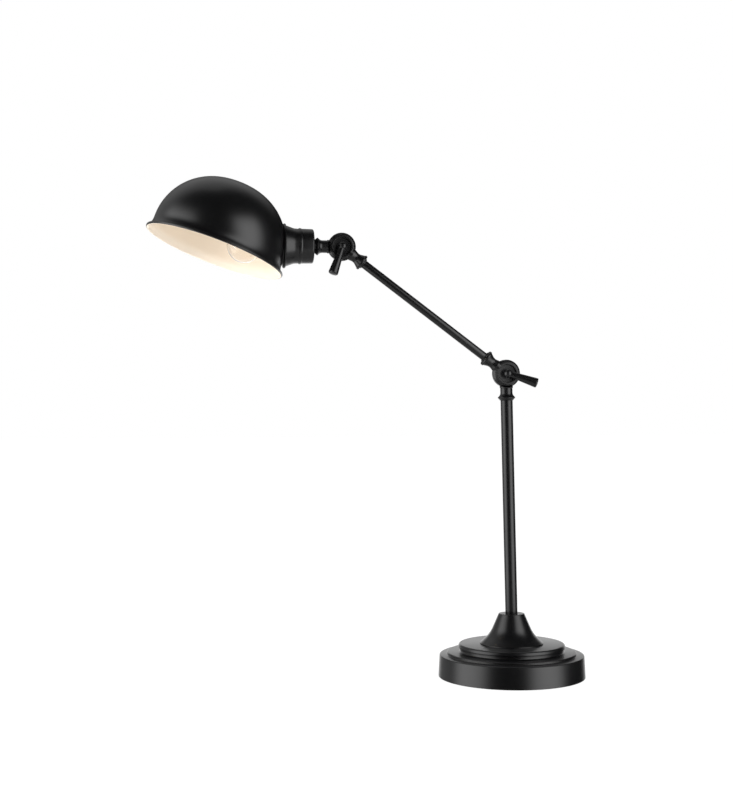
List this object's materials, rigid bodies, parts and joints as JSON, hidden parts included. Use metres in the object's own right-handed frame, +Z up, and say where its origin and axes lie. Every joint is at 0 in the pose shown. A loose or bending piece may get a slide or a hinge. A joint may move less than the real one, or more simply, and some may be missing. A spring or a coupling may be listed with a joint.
{
  "type": "desk lamp",
  "caption": "Adjustable desk lamp: stepped round base, upright stem, straight arm between two lever-clamped knuckle joints, domed metal shade over a globe lamp.",
  "frame": {"origin": "centre of the felt underside, on the table", "axes": "+Z up from the table through the middle of the base (the stem leans 1.15 degrees from it toward the arm); the arm and head reach out toward -X; the clamp levers are on the -Y side and the lead enters the base on the +Y side"},
  "size_m": [0.5631, 0.1919, 0.6418],
  "materials": {
    "felt": "matte",
    "base_paint": "satin",
    "stem_paint": "satin",
    "lever_paint": "satin",
    "screw_black": "satin",
    "shade_paint": "satin",
    "fitter_paint": "satin",
    "ballast_iron": "matte",
    "grommet_rubber": "matte",
    "zinc_steel": "satin",
    "plug_brass": "satin",
    "fibre": "matte",
    "holder_resin": "matte",
    "contact_brass": "satin",
    "lamp_glass": "gloss",
    "mount_glass": "gloss",
    "cap_nickel": "satin",
    "cap_insulator": "gloss",
    "lamp_contact": "satin",
    "filament_wire": "matte"
  },
  "bodies": {
    "stand": {"felt_pad": "felt", "base_shell": "base_paint", "base_weight": "ballast_iron", "cord_grommet": "grommet_rubber", "base_cone": "base_paint", "threaded_nipple": "zinc_steel", "base_flat_washer": "zinc_steel", "base_lock_washer": "zinc_steel", "base_nut": "zinc_steel", "stem_plug": "plug_brass", "stem_tube": "stem_paint", "stem_knuckle_half": "stem_paint", "lower_pivot_screw": "screw_black", "lower_friction_washer": "fibre"},
    "arm": {"arm_lower_knuckle_half": "stem_paint", "arm_tube": "stem_paint", "arm_upper_knuckle_half": "stem_paint"},
    "head": {"head_knuckle_half": "stem_paint", "upper_pivot_screw": "screw_black", "upper_friction_washer": "fibre", "neck_ring": "stem_paint", "head_nipple": "zinc_steel", "socket_cap": "fitter_paint", "lock_nut": "zinc_steel", "shade_fitter": "fitter_paint", "shade": "shade_paint", "shade_ring": "holder_resin", "lampholder_body": "holder_resin", "lampholder_shell": "contact_brass", "terminal_screws": "contact_brass", "centre_contact": "contact_brass", "bulb_glass": "lamp_glass", "bulb_cap": "cap_nickel", "bulb_insulator": "cap_insulator", "bulb_contact": "lamp_contact", "bulb_mount": "mount_glass", "bulb_filament": "filament_wire"},
    "lower_clamp": {"lower_lever": "lever_paint", "lower_lever_washer": "screw_black"},
    "upper_clamp": {"upper_lever": "lever_paint", "upper_lever_washer": "screw_black"}
  },
  "joints": [
    {"name": "lower_knuckle", "type": "hinge", "parent": "stand", "child": "arm", "pos_m": [-0.00631, 0, 0.39339], "axis": [0, 1, 0], "range_deg": [-48, 82]},
    {"name": "upper_knuckle", "type": "hinge", "parent": "arm", "child": "head", "pos_m": [-0.22101, 0, 0.55547], "axis": [0, 1, 0], "range_deg": [-68, 52]},
    {"name": "lower_lever_turn", "type": "hinge", "parent": "stand", "child": "lower_clamp", "pos_m": [-0.00631, 0, 0.39339], "axis": [0, -1, 0], "range_deg": [0, 180]},
    {"name": "upper_lever_turn", "type": "hinge", "parent": "head", "child": "upper_clamp", "pos_m": [-0.22101, 0, 0.55547], "axis": [0, -1, 0], "range_deg": [0, 180]}
  ]
}
